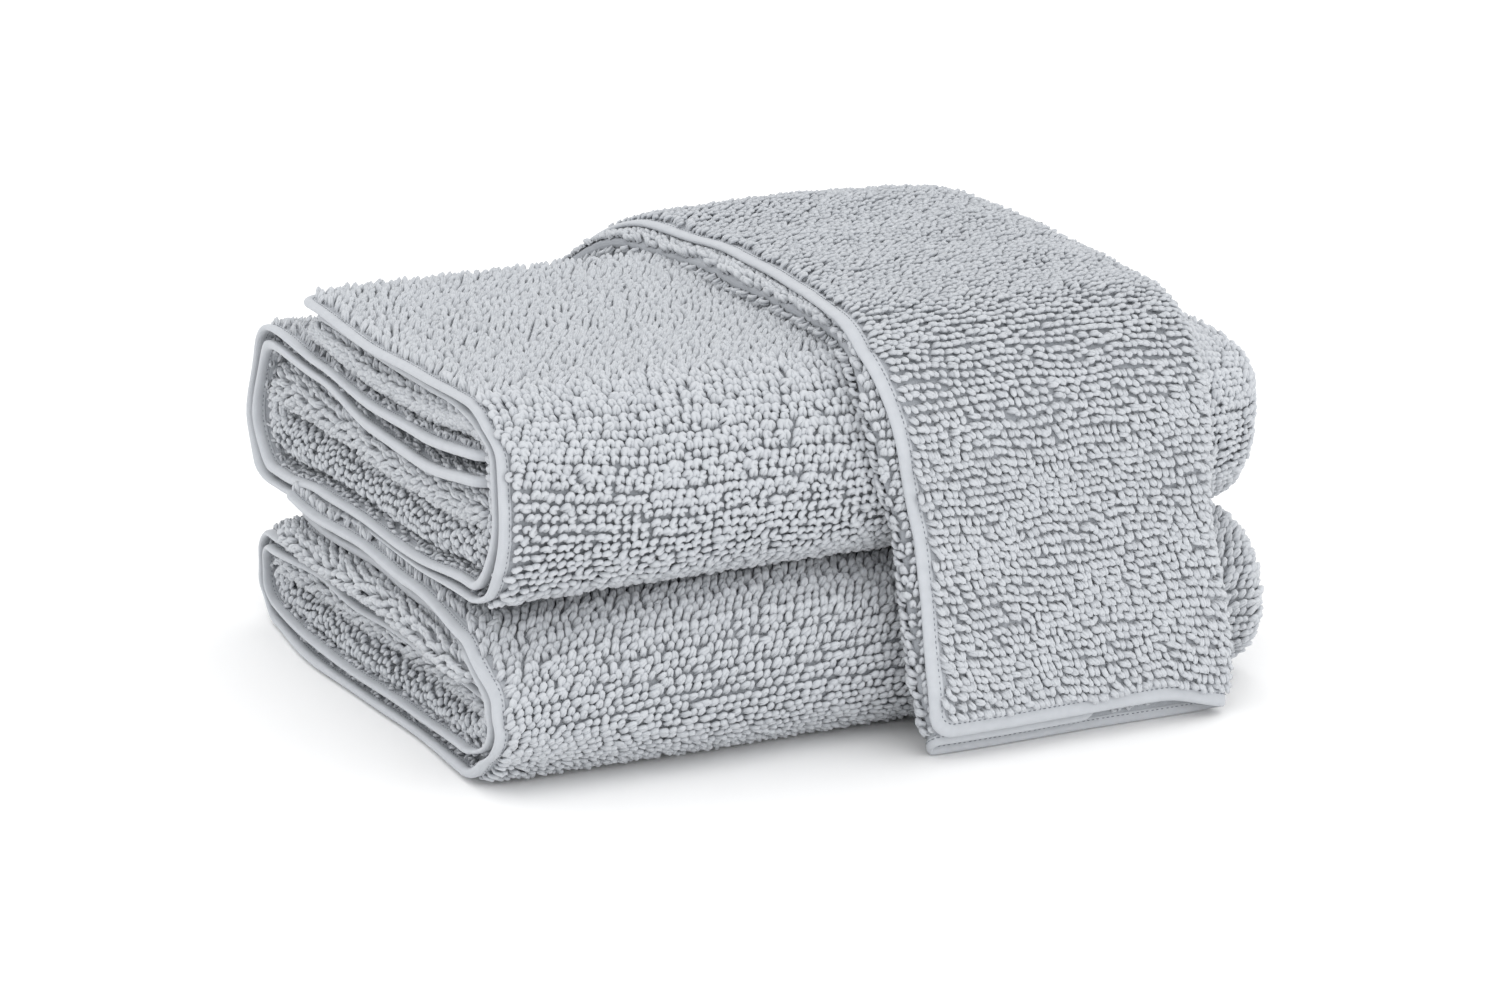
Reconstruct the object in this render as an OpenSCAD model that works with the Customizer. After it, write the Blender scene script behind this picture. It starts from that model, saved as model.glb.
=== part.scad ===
// Set of three bound terry towels: two bath towels, each folded and stacked one on the other,
// and a guest towel folded lengthwise and draped over the stack from front to back.
//
// X runs along the long side of the stack, Y from its front to its back and Z up.
// The origin is the middle of the stack's footprint, on the surface it lies on.
//
// Every towel is four pieces: the looped cloth, the woven tape that binds its edge, and the
// needle thread and the bobbin thread of the lockstitch that holds the tape.

/* [Bath towel] */
// Width of the flat bath towel, which is folded in three
bath_width = 762; // [740:1:790]
// Length of one folded bath towel along X, a quarter of the flat length
bath_fold_length = 360; // [300:1:400]
// Front to back size of a folded bath towel
bath_depth = 292; // [284:1:300]
// Thickness of one layer of looped bath cloth
bath_ply = 6.45; // [5:0.05:7]
// How far the folded pile edge sits behind the two bound edges at the left end
ridge_inset = 4; // [2:0.5:12]

/* [Guest towel] */
// Length of the flat guest towel, which hangs over the stack
guest_length = 600; // [560:1:602]
// Width of the flat guest towel, which is folded over twice
guest_width = 400; // [380:1:440]
// Thickness of one layer of looped guest cloth
guest_ply = 4.8; // [4.5:0.05:5]
// Position of the right folded edge of the guest towel along X
guest_fold_x = 147; // [120:1:165]
// Width of the upper layer, from its bound edge to the right folded edge
guest_upper_width = 150; // [140:1:170]
// How far the left folded edge sticks out past the upper layer's bound edge
guest_step = 10; // [4:0.5:16]
// Height of the front end of the guest towel above the surface
guest_front_z = 3; // [1:0.5:30]
// Radius of the outer face where the guest towel turns down over the back
guest_back_r = 69; // [68:0.5:70]

/* [Binding] */
// Width of the binding tape over the cloth
tape_w = 5; // [4.5:0.1:9]
// Width of the binding tape at the two short ends of the guest towel
guest_end_tape_w = 7; // [5:0.1:10]
// Thickness of the bound edge, tape and cloth together
tape_t = 3.2; // [2.8:0.1:4]
// Thickness of the tape where it closes over the cut edge of the cloth
tape_cap = 0.7; // [0.5:0.1:1]
// Thickness of the flat cloth inside the tape
tongue_t = 1.8; // [1.2:0.1:2]
// Distance from the stitch line to the inner edge of the tape
stitch_in = 1; // [0.8:0.1:2]
// Thickness of the sewing thread
thread_t = 0.4; // [0.3:0.05:0.5]

/* [Spacing] */
// Space between the layers of one folded towel
ply_gap = 0.4; // [0.3:0.05:0.6]
// Space between the three folds of one bath towel
fold_gap = 0.6; // [0.4:0.05:1]
// Space between one towel and the next
towel_gap = 0.4; // [0.35:0.05:1]

/* [Hidden] */
$fn = 96;

cloth_color = [0.78, 0.80, 0.82];
tape_color = [0.72, 0.74, 0.77];
thread_color = [0.64, 0.66, 0.70];

// Clearance of the flat cloth in the tape's slot
slot_t = tongue_t + 0.1;
// How far the slot cut runs on past the tape's inner edge
cut = 1;

// Lengths that come from a curve are kept to a hundredth of a millimetre
function hundredth(v) = round(v * 100) / 100;

// Bath towel: four layers folded end to end, then three folds over the depth
bath_pitch = bath_ply + ply_gap;
bath_pack = 4 * bath_ply + 3 * ply_gap;
bath_left = -bath_fold_length / 2;
bath_fold_x = bath_fold_length / 2 - bath_pack / 2;
ridge_x = bath_left + ridge_inset + bath_pitch / 2 + bath_ply / 2;
front_r = (3 * bath_pack + 2 * fold_gap) / 2;
back_r = (2 * bath_pack + fold_gap) / 2;
bath_height = 2 * front_r;
front_y = front_r - bath_depth / 2;
back_y = bath_depth / 2 - back_r;
tuck_y = front_y;
// The rest of the cloth's width, past both turns, lies on top as the flap
flap_y = hundredth(front_y + bath_width - 2 * (back_y - front_y)
                   - PI * (back_r - bath_pack / 2) - PI * (front_r - bath_pack / 2));
top_towel_z = bath_height + towel_gap;
stack_z = top_towel_z + bath_height;

// Guest towel: the upper and the lower layer join at the right, and the short inner layer
// between them joins the lower one at the left. The folded towel hangs over the stack.
guest_pitch = guest_ply + ply_gap;
guest_pack = 3 * guest_ply + 2 * ply_gap;
guest_turn_x = guest_fold_x - guest_pitch - guest_ply / 2;
guest_upper_x = guest_fold_x - guest_upper_width;
guest_ridge_x = guest_upper_x - guest_step + guest_pitch / 2 + guest_ply / 2;
// The inner layer has what is left of the width
guest_inner_x = hundredth(guest_ridge_x + guest_width - (guest_turn_x - guest_upper_x)
                          - (guest_turn_x - guest_ridge_x) - 1.5 * PI * guest_pitch);
guest_top = stack_z + towel_gap + guest_pack;
guest_front_r = front_r + towel_gap + guest_pack;
guest_front_y = front_y - guest_front_r;
guest_back_y = -guest_front_y;
guest_drop_z = guest_top - guest_front_r;
guest_rear_z = guest_top - guest_back_r;
guest_turn_y = guest_back_y - guest_back_r;
// What is left of the length hangs down behind
guest_back_z = hundredth(guest_rear_z - guest_length + (guest_drop_z - guest_front_z)
                         + PI / 2 * (guest_front_r - guest_pack / 2) + (guest_turn_y - front_y)
                         + PI / 2 * (guest_back_r - guest_pack / 2));

// ---- Cross-sections, with X across and the depth below the outer face as minus Y ----

// Depth of the middle of layer k of a folded bath towel, counted from the outside
function bath_mid(k) = (k - 1) * bath_pitch + bath_ply / 2;

// Depth of the middle of layer k of the folded guest towel, counted from the outside
function guest_mid(k) = (k - 1) * guest_pitch + guest_ply / 2;

// A straight strip from x1 to x2 between the depths d1 and d2
module strip(x1, x2, d1, d2) {
  translate([x1, -d2]) square([x2 - x1, d2 - d1]);
}

// Half of a flat ring round the depth d, on the right for side 1 and on the left for side -1
module half_ring(x, d, r1, r2, side) {
  translate([x, -d]) intersection() {
    difference() {
      circle(r = r2);
      circle(r = r1);
    }
    translate([side > 0 ? 0 : -r2, -r2]) square([r2, 2 * r2]);
  }
}

// The four layers of a bath towel as one running strip, from the outer bound end round both
// folds to the inner one. lo and hi are distances from the layer's middle to its needle side.
module bath_layers(lo, hi, x) {
  strip(x, bath_fold_x, bath_mid(1) - hi, bath_mid(1) - lo);
  half_ring(bath_fold_x, bath_pack / 2, 1.5 * bath_pitch + lo, 1.5 * bath_pitch + hi, 1);
  strip(ridge_x, bath_fold_x, bath_mid(4) + lo, bath_mid(4) + hi);
  half_ring(ridge_x, bath_mid(3) + bath_pitch / 2, bath_pitch / 2 + lo, bath_pitch / 2 + hi, -1);
  strip(ridge_x, bath_fold_x, bath_mid(3) - hi, bath_mid(3) - lo);
  half_ring(bath_fold_x, bath_pack / 2, bath_pitch / 2 - hi, bath_pitch / 2 - lo, 1);
  strip(x, bath_fold_x, bath_mid(2) + lo, bath_mid(2) + hi);
}

// The outermost two layers at the left end only, from x1 to x2
module bath_ends(lo, hi, x1, x2) {
  strip(x1, x2, bath_mid(1) - hi, bath_mid(1) - lo);
  strip(x1, x2, bath_mid(2) + lo, bath_mid(2) + hi);
}

// The guest towel's layers as one running strip, from the upper layer's bound edge round the
// right fold and the left fold to the inner layer's bound edge
module guest_layers(lo, hi, upper_x, inner_x) {
  strip(upper_x, guest_turn_x, guest_mid(1) - hi, guest_mid(1) - lo);
  half_ring(guest_turn_x, guest_mid(2), guest_pitch + lo, guest_pitch + hi, 1);
  strip(guest_ridge_x, guest_turn_x, guest_mid(3) + lo, guest_mid(3) + hi);
  half_ring(guest_ridge_x, guest_mid(2) + guest_pitch / 2,
            guest_pitch / 2 + lo, guest_pitch / 2 + hi, -1);
  strip(guest_ridge_x, inner_x, guest_mid(2) - hi, guest_mid(2) - lo);
}

// The bound edges of the upper and the inner layer, w wide and starting s in from the edge
module guest_edges(lo, hi, s, w) {
  strip(guest_upper_x + s, guest_upper_x + s + w, guest_mid(1) - hi, guest_mid(1) - lo);
  strip(guest_inner_x - s - w, guest_inner_x - s, guest_mid(2) - hi, guest_mid(2) - lo);
}

// ---- Runs that carry a cross-section round the folded bath towel ----

module along_flap(y1, y2) {
  translate([0, y2, bath_height]) rotate([90, 0, 0]) linear_extrude(y2 - y1) children();
}

module along_middle(y1, y2) {
  translate([0, y2, 2 * back_r]) rotate([90, 0, 0]) linear_extrude(y2 - y1) children();
}

module along_bottom(y1, y2) {
  translate([0, y1, 0]) rotate([-90, 0, 0]) linear_extrude(y2 - y1) children();
}

module turn(y, r, start, angle) {
  translate([0, y, 0]) rotate([0, -90, 0]) rotate([0, 0, start])
    rotate_extrude(angle = angle) translate([r, 0]) rotate(-90) children();
}

module along_fold(y1, y2) {
  along_middle(y1, back_y) children();
  translate([0, 0, back_r]) turn(back_y, back_r, 0, 180) children();
  along_bottom(front_y, back_y) children();
  translate([0, 0, front_r]) turn(front_y, front_r, 180, 180) children();
  along_flap(front_y, y2) children();
}

// ---- Runs that carry a cross-section over the stack with the guest towel ----

module down_front(z1, z2) {
  translate([0, guest_front_y, z1]) mirror([0, 1, 0]) linear_extrude(z2 - z1) children();
}

module down_back(z1, z2) {
  translate([0, guest_back_y, z1]) linear_extrude(z2 - z1) children();
}

module over_stack(z1, z2) {
  down_front(z1, guest_drop_z) children();
  translate([0, 0, guest_drop_z]) turn(front_y, guest_front_r, -90, 90) children();
  translate([0, guest_turn_y, guest_top]) rotate([90, 0, 0])
    linear_extrude(guest_turn_y - front_y) children();
  translate([0, 0, guest_rear_z]) turn(guest_turn_y, guest_back_r, 0, 90) children();
  down_back(z2, guest_rear_z) children();
}

// ---- Bath towel pieces ----

// Full looped cloth, flat where the tape grips its edge
module bath_terry() {
  along_fold(tuck_y + tape_w, flap_y - tape_w) {
    bath_layers(-bath_ply / 2, bath_ply / 2, bath_left + tape_w);
  }
  along_fold(tuck_y + tape_cap, flap_y - tape_cap) {
    bath_ends(-tongue_t / 2, tongue_t / 2, bath_left + tape_cap, bath_left + tape_w);
  }
  along_middle(tuck_y + tape_cap, tuck_y + tape_w) {
    bath_layers(-tongue_t / 2, tongue_t / 2, bath_left + tape_w);
  }
  along_flap(flap_y - tape_w, flap_y - tape_cap) {
    bath_layers(-tongue_t / 2, tongue_t / 2, bath_left + tape_w);
  }
}

// One tape round the whole edge, with a slot that the cloth fills
module bath_binding() {
  difference() {
    union() {
      along_fold(tuck_y, flap_y) {
        bath_ends(-tape_t / 2, tape_t / 2, bath_left, bath_left + tape_w);
      }
      along_middle(tuck_y, tuck_y + tape_w) bath_layers(-tape_t / 2, tape_t / 2, bath_left);
      along_flap(flap_y - tape_w, flap_y) bath_layers(-tape_t / 2, tape_t / 2, bath_left);
    }
    union() {
      along_fold(tuck_y + tape_cap, flap_y - tape_cap) {
        bath_ends(-slot_t / 2, slot_t / 2, bath_left + tape_cap, bath_left + tape_w + cut);
      }
      along_middle(tuck_y + tape_cap, tuck_y + tape_w + cut) {
        bath_layers(-slot_t / 2, slot_t / 2, bath_left + tape_cap);
      }
      along_flap(flap_y - tape_w - cut, flap_y - tape_cap) {
        bath_layers(-slot_t / 2, slot_t / 2, bath_left + tape_cap);
      }
    }
  }
}

// A thread lying on one face of the tape, side 1 for the needle thread and -1 for the bobbin
module bath_thread(side) {
  near = tape_t / 2;
  far = near + thread_t;
  lo = side > 0 ? near : -far;
  hi = side > 0 ? far : -near;
  inner = tape_w - stitch_in;
  along_fold(tuck_y + inner - thread_t, flap_y - inner + thread_t) {
    bath_ends(lo, hi, bath_left + inner - thread_t, bath_left + inner);
  }
  along_middle(tuck_y + inner - thread_t, tuck_y + inner) {
    bath_layers(lo, hi, bath_left + inner - thread_t);
  }
  along_flap(flap_y - inner, flap_y - inner + thread_t) {
    bath_layers(lo, hi, bath_left + inner - thread_t);
  }
}

module bottom_towel_terry() {
  color(cloth_color) bath_terry();
}

module bottom_towel_binding() {
  color(tape_color) bath_binding();
}

module bottom_towel_needle_thread() {
  color(thread_color) bath_thread(1);
}

module bottom_towel_bobbin_thread() {
  color(thread_color) bath_thread(-1);
}

module top_towel_terry() {
  color(cloth_color) translate([0, 0, top_towel_z]) bath_terry();
}

module top_towel_binding() {
  color(tape_color) translate([0, 0, top_towel_z]) bath_binding();
}

module top_towel_needle_thread() {
  color(thread_color) translate([0, 0, top_towel_z]) bath_thread(1);
}

module top_towel_bobbin_thread() {
  color(thread_color) translate([0, 0, top_towel_z]) bath_thread(-1);
}

// ---- Guest towel pieces ----

// Looped cloth in three layers, flat where the tape grips its edge
module guest_towel_terry() {
  end_w = guest_end_tape_w;
  color(cloth_color) union() {
    over_stack(guest_front_z + end_w, guest_back_z + end_w) {
      guest_layers(-guest_ply / 2, guest_ply / 2, guest_upper_x + tape_w, guest_inner_x - tape_w);
    }
    over_stack(guest_front_z + tape_cap, guest_back_z + tape_cap) {
      guest_edges(-tongue_t / 2, tongue_t / 2, tape_cap, tape_w - tape_cap);
    }
    down_front(guest_front_z + tape_cap, guest_front_z + end_w) {
      guest_layers(-tongue_t / 2, tongue_t / 2, guest_upper_x + tape_w, guest_inner_x - tape_w);
    }
    down_back(guest_back_z + tape_cap, guest_back_z + end_w) {
      guest_layers(-tongue_t / 2, tongue_t / 2, guest_upper_x + tape_w, guest_inner_x - tape_w);
    }
  }
}

// One tape round the whole edge, wider at the two short ends
module guest_towel_binding() {
  color(tape_color) difference() {
    union() {
      over_stack(guest_front_z, guest_back_z) {
        guest_edges(-tape_t / 2, tape_t / 2, 0, tape_w);
      }
      down_front(guest_front_z, guest_front_z + guest_end_tape_w) {
        guest_layers(-tape_t / 2, tape_t / 2, guest_upper_x, guest_inner_x);
      }
      down_back(guest_back_z, guest_back_z + guest_end_tape_w) {
        guest_layers(-tape_t / 2, tape_t / 2, guest_upper_x, guest_inner_x);
      }
    }
    union() {
      over_stack(guest_front_z + tape_cap, guest_back_z + tape_cap) {
        guest_edges(-slot_t / 2, slot_t / 2, tape_cap, tape_w - tape_cap + cut);
      }
      down_front(guest_front_z + tape_cap, guest_front_z + guest_end_tape_w + cut) {
        guest_layers(-slot_t / 2, slot_t / 2, guest_upper_x + tape_cap, guest_inner_x - tape_cap);
      }
      down_back(guest_back_z + tape_cap, guest_back_z + guest_end_tape_w + cut) {
        guest_layers(-slot_t / 2, slot_t / 2, guest_upper_x + tape_cap, guest_inner_x - tape_cap);
      }
    }
  }
}

// A thread on one face of the guest towel's tape, side 1 for the needle thread
module guest_thread(side) {
  near = tape_t / 2;
  far = near + thread_t;
  lo = side > 0 ? near : -far;
  hi = side > 0 ? far : -near;
  inner = tape_w - stitch_in;
  end_inner = guest_end_tape_w - stitch_in;
  edge = inner - thread_t;
  over_stack(guest_front_z + end_inner - thread_t, guest_back_z + end_inner - thread_t) {
    guest_edges(lo, hi, edge, thread_t);
  }
  down_front(guest_front_z + end_inner - thread_t, guest_front_z + end_inner) {
    guest_layers(lo, hi, guest_upper_x + edge, guest_inner_x - edge);
  }
  down_back(guest_back_z + end_inner - thread_t, guest_back_z + end_inner) {
    guest_layers(lo, hi, guest_upper_x + edge, guest_inner_x - edge);
  }
}

module guest_towel_needle_thread() {
  color(thread_color) guest_thread(1);
}

module guest_towel_bobbin_thread() {
  color(thread_color) guest_thread(-1);
}

bottom_towel_terry();
bottom_towel_binding();
bottom_towel_needle_thread();
bottom_towel_bobbin_thread();
top_towel_terry();
top_towel_binding();
top_towel_needle_thread();
top_towel_bobbin_thread();
guest_towel_terry();
guest_towel_binding();
guest_towel_needle_thread();
guest_towel_bobbin_thread();
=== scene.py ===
import math

import bpy
import numpy as np
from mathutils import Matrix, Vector


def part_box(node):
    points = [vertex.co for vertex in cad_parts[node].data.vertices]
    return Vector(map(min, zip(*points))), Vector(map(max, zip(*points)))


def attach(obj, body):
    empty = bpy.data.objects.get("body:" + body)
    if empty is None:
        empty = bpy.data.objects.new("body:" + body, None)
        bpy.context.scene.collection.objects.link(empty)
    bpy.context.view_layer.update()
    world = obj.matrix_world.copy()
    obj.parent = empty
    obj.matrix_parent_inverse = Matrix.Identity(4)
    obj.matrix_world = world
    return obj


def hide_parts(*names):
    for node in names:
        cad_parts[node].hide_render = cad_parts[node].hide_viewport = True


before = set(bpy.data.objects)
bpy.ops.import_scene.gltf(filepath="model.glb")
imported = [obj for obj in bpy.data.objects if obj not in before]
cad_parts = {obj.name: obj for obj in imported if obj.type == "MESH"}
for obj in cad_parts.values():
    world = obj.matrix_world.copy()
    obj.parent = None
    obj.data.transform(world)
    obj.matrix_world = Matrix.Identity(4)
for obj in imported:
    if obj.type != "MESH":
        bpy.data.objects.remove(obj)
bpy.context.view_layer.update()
RNG = np.random.default_rng(11)
MM = 0.001
PI = math.pi

# ---- Sizes: from the frame's boxes, and the few that part.scad states ----

PLY_GAP = 0.4 * MM
FOLD_GAP = 0.6 * MM
TOWEL_GAP = 0.4 * MM
TAPE_W = 5 * MM
GUEST_SIDE_W = 6.5 * MM
TAPE_T = 2.9 * MM
GUEST_END_W = 7.5 * MM
RIDGE_INSET = 4 * MM
CORNER_R = 11 * MM
GUEST_STEP = 10 * MM
BATH_FLAT = (0.762, 1.422)
GUEST_FLAT = (0.600, 0.400)

BATH_LO, BATH_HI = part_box("bottom_towel_terry")
BATH_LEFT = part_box("bottom_towel_binding")[0][0]
BATH_H = BATH_HI[2] - BATH_LO[2]
TOP_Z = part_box("top_towel_terry")[0][2]
STACK_Z = TOP_Z + BATH_H
PACK = (BATH_H - 2 * FOLD_GAP) / 3
BATH_PLY = (PACK - 3 * PLY_GAP) / 4
BATH_PITCH = BATH_PLY + PLY_GAP
FRONT_R = BATH_H / 2
BACK_R = PACK + FOLD_GAP / 2
FRONT_Y = BATH_LO[1] + FRONT_R
BACK_Y = BATH_HI[1] - BACK_R
FOLD_X = BATH_HI[0] - PACK / 2
RIDGE_X = BATH_LEFT + RIDGE_INSET + BATH_PITCH / 2 + BATH_PLY / 2

GUEST_LO, GUEST_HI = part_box("guest_towel_terry")
GUEST_TOP = GUEST_HI[2]
GUEST_PACK = GUEST_TOP - STACK_Z - TOWEL_GAP
GUEST_PLY = (GUEST_PACK - 2 * PLY_GAP) / 3
GUEST_PITCH = GUEST_PLY + PLY_GAP
GUEST_FRONT = GUEST_LO[1]
GUEST_BACK = GUEST_HI[1]
GUEST_FRONT_R = FRONT_Y - GUEST_FRONT
GUEST_BACK_R = 69 * MM
GUEST_TURN_X = GUEST_HI[0] - GUEST_PITCH - GUEST_PLY / 2
GUEST_RIDGE_X = GUEST_LO[0] + GUEST_PITCH / 2 + GUEST_PLY / 2
GUEST_UPPER_X = GUEST_LO[0] + GUEST_STEP
GUEST_FRONT_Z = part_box("guest_towel_binding")[0][2]

GROUND_T = 0.9 * MM  # half the thickness of the woven ground that the loops stand on
PILE_BASE = 1.2 * MM  # how far from the middle of the ground the even spacing is measured


def smooth(x, a, b):
    """0 below a, 1 above b, and a smooth step between."""
    t = np.clip((x - a) / (b - a), 0, 1)
    return t * t * (3 - 2 * t)


def waves(x, y, seed, scale):
    """A smooth random field of about -1 to 1, from a few sine waves."""
    r = np.random.default_rng(seed)
    out = 0 * (x + y)
    for k in range(5):
        a = r.uniform(0, 2 * PI)
        f = 2 * PI / scale * r.uniform(0.6, 1.7)
        out = out + np.sin(f * (x * math.cos(a) + y * math.sin(a)) + r.uniform(0, 2 * PI))
    return out / 2.6


def unit(a):
    return a / np.maximum(np.linalg.norm(a, axis=-1, keepdims=True), 1e-9)


# ---- Folded shapes ----
# u runs over the flat width (bath) or length (guest) of a towel, v over the other side from
# one bound end, through the layers of the pack, to the other. n is the distance off the
# middle of the cloth, towards the needle side. The pack's own section is x and its depth t.


class Fold:
    def place(self, u, v, n):
        """Where a point of the flat towel lies, n off the middle of the cloth."""
        u, v, n = np.broadcast_arrays(u, v, n)
        over = np.minimum(v, 0) - np.maximum(v - self.length, 0)
        x, t, nx, nt, way = self.section(np.clip(v, 0, self.length))
        return self.shape(u, x + n * nx + over * way, t + n * nt, v)


class BathFold(Fold):
    def __init__(self, base_z, seed, top):
        self.base_z = base_z
        self.seed = seed
        self.top = top
        self.middle = BACK_Y - FRONT_Y
        self.back = PI * (BACK_R - PACK / 2)
        self.front = PI * (FRONT_R - PACK / 2)
        flap = BATH_FLAT[0] - 2 * self.middle - self.back - self.front
        self.marks = np.cumsum([self.middle, self.back, self.middle, self.front, flap])
        self.width = self.marks[-1]
        straight, inner, half = FOLD_X - BATH_LEFT, FOLD_X - RIDGE_X, PI * BATH_PITCH / 2
        self.v_marks = np.cumsum([straight, 3 * half, inner, half, inner, half, straight])
        self.length = self.v_marks[-1]
        self.mid = [BATH_PLY / 2 + k * BATH_PITCH for k in range(4)]

    def section(self, v):
        m = self.v_marks
        big, small = 1.5 * BATH_PITCH, 0.5 * BATH_PITCH
        centre, ridge_t = PACK / 2, self.mid[2] + small
        a1 = np.clip((v - m[0]) / (m[1] - m[0]), 0, 1) * PI
        a2 = np.clip((v - m[2]) / (m[3] - m[2]), 0, 1) * PI
        a3 = np.clip((v - m[4]) / (m[5] - m[4]), 0, 1) * PI
        where = [v < m[0], v < m[1], v < m[2], v < m[3], v < m[4], v < m[5]]
        one, zero = np.ones_like(v), np.zeros_like(v)
        x = np.select(
            where,
            [
                BATH_LEFT + v,
                FOLD_X + big * np.sin(a1),
                FOLD_X - (v - m[1]),
                RIDGE_X - small * np.sin(a2),
                RIDGE_X + (v - m[3]),
                FOLD_X + small * np.sin(a3),
            ],
            FOLD_X - (v - m[5]),
        )
        t = np.select(
            where,
            [
                self.mid[0] * one,
                centre - big * np.cos(a1),
                self.mid[3] * one,
                ridge_t + small * np.cos(a2),
                self.mid[2] * one,
                centre + small * np.cos(a3),
            ],
            self.mid[1] * one,
        )
        nx = np.select(where, [zero, np.sin(a1), zero, -np.sin(a2), zero, -np.sin(a3)], zero)
        nt = np.select(where, [-one, -np.cos(a1), one, np.cos(a2), -one, -np.cos(a3)], one)
        # Past either edge the cloth goes on to the left
        return x, t, nx, nt, one

    def shape(self, u, x, t, v):
        m = self.marks
        over = np.maximum(u - m[4], 0)
        under = np.maximum(-u, 0)
        u = np.clip(u, 0, m[4])
        a1 = np.clip((u - m[0]) / self.back, 0, 1) * PI
        a2 = np.clip((u - m[2]) / self.front, 0, 1) * PI
        where = [u < m[0], u < m[1], u < m[2], u < m[3]]
        y = np.select(
            where,
            [
                FRONT_Y + u - under,
                BACK_Y + (BACK_R - t) * np.sin(a1),
                BACK_Y - (u - m[1]),
                FRONT_Y - (FRONT_R - t) * np.sin(a2),
            ],
            FRONT_Y + (u - m[3]) + over,
        )
        z = np.select(
            where,
            [
                2 * BACK_R - t,
                BACK_R + (BACK_R - t) * np.cos(a1),
                t,
                FRONT_R - (FRONT_R - t) * np.cos(a2),
            ],
            BATH_H - t,
        )
        return self.warp(u, x, y, z, v)

    # Heights of the layers at the left end, in mm. The rows are the stations below, and the
    # columns are the exact fold's own heights: underside, A, B, pocket, B, A, gap, flap's
    # folded edge, B, A and upper side
    LEVELS = np.array([0, 3.2, 10, 27.3, 44.5, 51.4, 55, 61.7, 72.2, 79, 82.2]) * MM
    STATIONS = np.array([-146, -124, -105, -50, 0, 60, 110, 150]) * MM
    TOP_LEVELS = [
        [-8, -4.5, 1, 24, 50, 58, 61, 65, 70, 77, 80],
        [-8, -4.5, 1, 24, 51, 57, 60, 64, 70, 77, 80],
        [-8, -5, -0.5, 23, 46, 57.5, 61, 65, 70, 77, 80],
        [-9, -7, -4, 19, 39, 52.5, 56, 62, 69, 75.5, 79],
        [-10, -7.5, -4, 18, 40, 50.5, 54.5, 60.5, 68, 74, 77.5],
        [-11, -8.5, -5, 17, 47, 52.5, 57, 62, 69, 77, 80],
        [-19, -16, -11, 16, 50, 57, 60, 65, 70, 77, 80],
        [-22, -18, -12, 13, 42, 52, 57, 62, 69, 76, 79],
    ]
    LOW_LEVELS = [
        [0, 4, 14, 24, 34, 38, 40, 43, 48, 53, 56],
        [0, 4, 14, 25, 35, 38, 40, 43, 50, 57, 60],
        [0, 3.5, 13.5, 24, 34, 38, 40, 44, 53, 61, 64],
        [0, 2.8, 11.5, 24, 35, 40, 42, 47, 58, 68, 71],
        [0, 2.5, 11, 24, 36, 42, 44, 50, 62, 71.5, 74],
        [0, 2.5, 11, 24, 37, 43, 45, 51, 62, 71, 74],
        [0, 2.8, 11.5, 23, 37, 44, 46, 51, 61, 69, 72],
        [0, 3, 12, 22, 37, 44, 46, 51, 60, 68, 71],
    ]

    def left_height(self, y, z):
        table = np.array(self.TOP_LEVELS if self.top else self.LOW_LEVELS) * MM
        flat_z = z.ravel()
        cols = np.stack([np.interp(flat_z, self.LEVELS, row) for row in table])
        s = np.clip(y.ravel(), self.STATIONS[0], self.STATIONS[-1])
        i = np.clip(np.searchsorted(self.STATIONS, s) - 1, 0, len(table) - 2)
        f = (s - self.STATIONS[i]) / (self.STATIONS[i + 1] - self.STATIONS[i])
        f = f * f * (3 - 2 * f)
        k = np.arange(len(s))
        past = np.minimum(flat_z, 0) + np.maximum(flat_z - self.LEVELS[-1], 0)
        return (cols[i, k] * (1 - f) + cols[i + 1, k] * f + past).reshape(z.shape)

    def warp(self, u, x, y, z, v):
        """The towel's own sag, press and waviness, on top of the exact fold."""
        h = z / BATH_H
        left = np.exp(-np.maximum(x - BATH_LEFT, 0) / (42 * MM))
        edge = np.exp(-np.maximum(x - BATH_LEFT, 0) / (20 * MM))
        right = smooth(x, BATH_HI[0] - 60 * MM, BATH_HI[0])
        back = smooth(y, 40 * MM, 120 * MM)
        if self.top:
            under = -6 * MM - 2 * MM * right - 11 * MM * back
            over = -1.2 * MM - 13 * MM * right * smooth(-y, -140 * MM, 60 * MM)
            inner = under * np.clip(1 - h / 0.62, 0, 1) + over * smooth(h, 0.55, 1)
            inner = inner - 5 * MM * smooth(h, 0.0, 0.3) * (1 - smooth(h, 0.3, 0.9))
        else:
            inner = (-6 * MM - 3.5 * MM * right) * h
        settled = z + inner
        new_z = settled + left * (self.left_height(y, z) - settled)
        free = smooth(z, 4 * MM, 16 * MM) * (1 - smooth(z, BATH_H - 16 * MM, BATH_H - 4 * MM))
        new_z = new_z + 0.9 * MM * waves(x, y, self.seed, 0.15) * free
        dy = 1.3 * MM * waves(x, z * 2, self.seed + 2, 0.13) * free
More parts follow.
